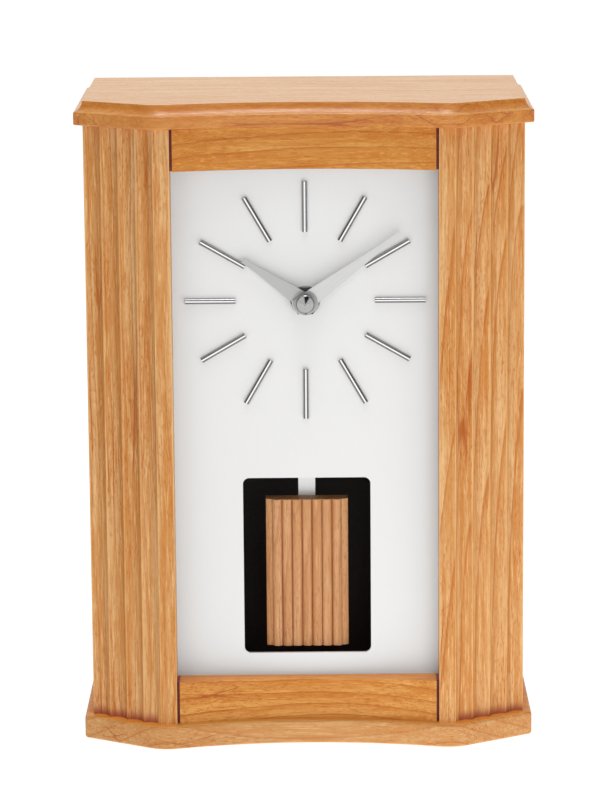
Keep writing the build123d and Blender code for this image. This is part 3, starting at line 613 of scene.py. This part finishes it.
def make_screws(name, node, parted, out, shank, pitch, slot_turns, finish, body,
                height, slot_width, slot_depth, crown=0.0, sunk=False):
    """Slotted and threaded screws in the places of a node's plain ones, each turned by its own slot angle.

    The node's screws are parted along the axes parted, and their heads look along out. A head's radius and
    the screw's length come from its box, and the points (across, along, out) are added up along these three
    directions.
    """
    out = np.array(out, float)
    main = int(np.argmax(np.abs(out)))
    others = [axis for axis in range(3) if axis != main]
    points = []
    faces = []
    count = 0
    for (low, high), turn in zip(screw_boxes(node, parted), slot_turns):
        radius = (high - low)[others[0]] / 2
        length = (high - low)[main]
        face = (low + high) / 2
        face[main] = high[main] if out[main] > 0 else low[main]
        across = np.zeros(3)
        across[others] = math.cos(turn), math.sin(turn)
        basis = np.stack([across, np.cross(out, across), out])
        head = slotted_head(radius, shank, height, slot_width, slot_depth, crown, sunk)
        stem = threaded_shank(shank, (height + slot_depth) / 2, length, pitch)
        for grid in (head, stem):
            rows, columns = grid.shape[:2]
            points.append(face + grid.reshape(-1, 3) @ basis)
            faces.append(loop_faces(rows, columns, count))
            count += rows * columns
    mesh = bpy.data.meshes.new(name)
    mesh.from_pydata(np.concatenate(points).tolist(), [], np.concatenate(faces).tolist())
    close_shell(mesh)
    mesh.materials.append(finish)
    piece = bpy.data.objects.new(name, mesh)
    scene.collection.objects.link(piece)
    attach(piece, body)
    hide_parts(node)


def close_shell(mesh):
    """Merge a mesh's double points, turn its faces outwards and shade it smooth between sharp edges."""
    merged_within = 0.000001
    sharp_from = math.radians(35)
    shell = bmesh.new()
    shell.from_mesh(mesh)
    bmesh.ops.remove_doubles(shell, verts=shell.verts, dist=merged_within)
    bmesh.ops.recalc_face_normals(shell, faces=shell.faces)
    shell.to_mesh(mesh)
    shell.free()
    mesh.shade_smooth()
    mesh.set_sharp_from_angle(angle=sharp_from)


def make_stage():
    """Pale table that shows white, keeps the clock's shadow and throws light up, most of it from the right.

    It is clear from below, so that the underside of the clock can be looked at.
    """
    f = Finish("table_sheet", (0.80, 0.80, 0.80), 0.9)
    f.tree.nodes.remove(f.shader)
    path = f.add("ShaderNodeLightPath")
    seen = f.calc("MAXIMUM", path.outputs["Is Camera Ray"],
                  f.calc("MAXIMUM", path.outputs["Is Glossy Ray"], path.outputs["Is Transmission Ray"]))

    def sheet(albedo, glow):
        """Matt sheet that glows by itself."""
        pale = f.add("ShaderNodeBsdfDiffuse")
        pale.inputs["Color"].default_value = (albedo, albedo, albedo, 1.0)
        light = f.add("ShaderNodeEmission")
        f.feed(light, "Strength", glow)
        both = f.add("ShaderNodeAddShader")
        f.join(pale.outputs[0], both.inputs[0])
        f.join(light.outputs[0], both.inputs[1])
        return both.outputs[0]

    def either(share, first, second):
        """First shader, or the second where the share is one."""
        node = f.add("ShaderNodeMixShader")
        f.join(share, node.inputs[0])
        f.join(first, node.inputs[1])
        f.join(second, node.inputs[2])
        return node.outputs[0]

    off_middle = f.calc("ABSOLUTE", f.calc("SUBTRACT", f.parts(f.place)[0], table_light_middle))
    soft = f.band(off_middle, *table_light_fall, table_light, table_light * side_light)
    top = either(seen, sheet(table_albedo, soft), sheet(table_albedo_seen, table_white))
    from_below = f.add("ShaderNodeNewGeometry").outputs["Backfacing"]
    clear = f.add("ShaderNodeBsdfTransparent").outputs[0]
    f.join(either(from_below, top, clear), f.tree.nodes["Material Output"].inputs["Surface"])
    corners = [(x * table_reach, y * table_reach, -table_drop)
               for x, y in ((-1, -1), (1, -1), (1, 1), (-1, 1))]
    mesh = bpy.data.meshes.new("table_top")
    mesh.from_pydata(corners, [], [(0, 1, 2, 3)])
    mesh.materials.append(f.material)
    table = bpy.data.objects.new("table_top", mesh)
    scene.collection.objects.link(table)


def make_surround():
    """Surround that lights evenly and looks white.

    Its sides are darker, and in reflections it has a dark patch above the lens and is white behind the
    clock. The limits of each part are parts of a unit direction.
    """
    world = bpy.data.worlds.new("surround")
    world.use_nodes = True
    n = Nodes(world.node_tree)
    path = n.add("ShaderNodeLightPath")
    seen = path.outputs["Is Camera Ray"]
    glossy = path.outputs["Is Glossy Ray"]
    through = path.outputs["Is Transmission Ray"]
    right, ahead, up = n.parts(n.add("ShaderNodeTexCoord").outputs["Generated"])
    sideways = n.calc("ABSOLUTE", right)
    beside = n.band(sideways, 0.50, 0.75, 1.0, side_reflection)
    behind = n.band(ahead, -0.10, 0.25)
    above = n.times(n.band(up, 0.20, 0.27), n.band(up, 0.62, 0.50))
    over_lens = n.times(n.band(right, -0.10, -0.05), n.band(right, 0.34, 0.26))
    dark_patch = n.times(above, over_lens)
    mirrored = n.calc("MAXIMUM", n.times(beside, n.calc("SUBTRACT", 1.0, dark_patch)), behind)
    clear = n.calc("MAXIMUM", seen, through)
    shown = n.calc("MAXIMUM", clear, n.times(glossy, mirrored))
    plain = n.calc("SUBTRACT", 1.0, n.calc("MAXIMUM", clear, glossy))
    soft = n.times(n.band(sideways, 0.35, 0.75, 1.0, side_light), surround_light)
    ground = n.tree.nodes["Background"]
    ground.inputs["Color"].default_value = (1.0, 1.0, 1.0, 1.0)
    n.feed(ground, "Strength", n.plus(shown, n.times(plain, soft)))
    scene.world = world


def lamp(name, place, width, height, power, mirrored=False):
    """Rectangular soft lamp that points at the clock, and shows in reflections only if mirrored."""
    data = bpy.data.lights.new(name, "AREA")
    data.shape = "RECTANGLE"
    data.size = width
    data.size_y = height
    data.energy = power
    light = bpy.data.objects.new(name, data)
    aim = (Vector(middle_of_clock) - Vector(place)).to_track_quat("-Z", "Y")
    light.matrix_world = Matrix.Translation(place) @ aim.to_matrix().to_4x4()
    light.visible_camera = False
    light.visible_glossy = mirrored
    scene.collection.objects.link(light)


make_camera()
make_stage()
make_surround()
lamp("key_lamp", place=(0.48, -2.10, 0.30), width=1.1, height=0.8, power=7.3)
lamp("fill_lamp", place=(-1.20, -1.60, 0.30), width=0.9, height=0.8, power=2.4)
lamp("top_lamp", place=(0.0, -0.10, 1.50), width=0.45, height=1.0, power=8.6, mirrored=True)

# Wood of the case, one finish for each board so that no two boards carry the same figure
rail = {"along": ALONG_X, "shaded_ends": True, "bounce": 0.08}
column = {"shine": 0.08, "edge_highlight": 0.0009, "foot": column_foot, "bounce": 0.30}
side_panel = {"ring": 0.006, "figure": 0.5, "shine": 0.08}
# Painted light on the tops of the cap, base and bottom rail; painted shade in the cap's cove, the bob's
# grooves, the rails' ends and the columns' foot
dress(wood("cap_wood", cap_tones, along=ALONG_X, heart=(0.30, 0.05), tilt=(0.01, 0.01), ring=0.005,
           seed=3.1, figure=0.15, gloss=0.28, shine=0.5, sway=0.008, painted_groove_shade=0.004, lit_top=cap_lit_top),
      "top_cap")
dress(wood("base_wood", base_tones, along=ALONG_X, heart=(0.12, 0.06), tilt=(0.05, 0.04), ring=0.006,
           seed=7.7, figure=0.4, shine=0.12, sway=0.012, lit_top=base_lit_top), "base_board")
dress(wood("top_rail_wood", amber, heart=(-0.36, -0.02), tilt=(0.10, 0.05), ring=0.007, seed=1.9,
           figure=0.55, **rail), "top_rail")
dress(wood("bottom_rail_wood", amber, heart=(-0.10, -0.03), tilt=(0.12, -0.06), ring=0.006, seed=5.3,
           figure=0.5, lit_top=rail_lit_top, **rail), "bottom_rail")
dress(wood("left_column_wood", honey, heart=(-0.17, 0.02), tilt=(0.02, 0.01), ring=0.0045, seed=2.3,
           figure=0.35, **column), "left_column")
dress(wood("right_column_wood", honey, heart=(0.105, 0.02), tilt=(0.03, -0.05), ring=0.0065, seed=8.9,
           figure=0.55, **column), "right_column")
dress(wood("left_side_wood", honey, heart=(-0.16, 0.02), tilt=(0.05, 0.02), seed=4.2, **side_panel),
      "left_side_panel")
dress(wood("right_side_wood", honey, heart=(0.15, 0.01), tilt=(-0.05, 0.03), seed=6.4, **side_panel),
      "right_side_panel")
dress(wood("bob_wood", bob_tones, heart=(0.05, 0.06), tilt=(0.02, 0.03), ring=0.004, seed=9.6, figure=0.35,
           gloss=0.45, painted_groove_shade=0.0025), "pendulum_bob")
dress(wood("plain_wood", raw_tones, heart=(0.1, 0.1), ring=0.004, seed=0.4, figure=0.3, gloss=0.6),
      "cap_dowels", "left_dial_batten", "right_dial_batten")

# Dial, hands and other metal
steel = metal("steel", (0.55, 0.55, 0.56), 0.32)
brass = metal("brass", (0.68, 0.46, 0.18), 0.30, grain=(300.0, 4000.0, 4000.0), depth=0.000002)
aged_brass = metal("aged_brass", (0.42, 0.27, 0.10), 0.36, grain=(1500.0, 1500.0, 1500.0), depth=0.000002)
winding = metal("copper_winding", (0.60, 0.26, 0.12), 0.35, grain=(300.0, 300.0, 5200.0), depth=0.00004)
dress(coated("dial_paint", (0.80, 0.80, 0.795), 0.60, change=0.015, size=500.0, depth=0.000006),
      "dial_plate")
dress(marker_chrome(), "hour_markers")
dress(hand_satin("hour_hand_satin", (0.50, 0.50, 0.495), hour_angle, 0.9), "hour_hand")
dress(hand_satin("minute_hand_satin", (0.66, 0.66, 0.655), minute_angle, 0.62), "minute_hand")
dress(nut_polish(), "hand_cap_nut")
dress(metal("nut_metal", (0.10, 0.10, 0.10), 0.38), "mounting_nut")
dress(metal("washer_metal", (0.46, 0.46, 0.455), 0.36), "dial_washer")
dress(metal("rod_metal", (0.86, 0.86, 0.855), 0.42, grain=(2500.0, 2500.0, 60.0)), "pendulum_rod")
dress(steel, "positive_contact", "negative_contact", "quartz_crystal", "motor_stator", "hanger_pin",
      "drive_magnet", "case_screws", "bob_screws")
dress(brass, "left_turn_button", "right_turn_button", "turn_button_screws", "minute_arbor")
dress(winding, "motor_coil", "drive_coil")

# Paint, plastic and felt
hardboard = coated("black_hardboard", (0.095, 0.090, 0.087), 0.62, change=0.3, size=900.0, depth=0.00006,
                   shine=0.2)
black_plastic = coated("black_plastic", (0.022, 0.022, 0.023), 0.48, change=0.2, size=1400.0, depth=0.00002)
wheel_plastic = coated("wheel_plastic", (0.80, 0.79, 0.75), 0.42)
dress(hardboard, "back_panel")
dress(black_plastic, "movement_housing", "movement_cover", "setting_knob")
dress(wheel_plastic, "motor_rotor", "intermediate_wheel", "seconds_wheel", "third_wheel", "centre_wheel",
      "motion_wheel", "hour_wheel", "pendulum_hanger")
dress(coated("board_lacquer", (0.03, 0.16, 0.07), 0.35), "circuit_board")
dress(coated("cell_jacket", (0.10, 0.105, 0.115), 0.3), "battery")
dress(felt_cloth(), "felt_feet")

# Screws, which stand for the plain ones
make_screws("slotted_button_screws", "turn_button_screws", parted=[0], out=(0, 1, 0), shank=0.00125,
            pitch=0.0011, slot_turns=(0.5, -0.9), finish=aged_brass, body="case",
            height=0.0010, slot_width=0.0010, slot_depth=0.0006, crown=0.0003)
make_screws("slotted_case_screws", "case_screws", parted=[0, 1], out=(0, 0, -1), shank=0.0016,
            pitch=0.0014, slot_turns=(0.3, 1.2, -0.6, 0.9), finish=steel, body="case",
            height=0.0022, slot_width=0.0010, slot_depth=0.0009, sunk=True)
make_screws("slotted_bob_screws", "bob_screws", parted=[2], out=(0, 1, 0), shank=0.0010,
            pitch=0.0008, slot_turns=(0.2, 1.1), finish=steel, body="pendulum",
            height=0.0009, slot_width=0.0006, slot_depth=0.0004, crown=0.0003)
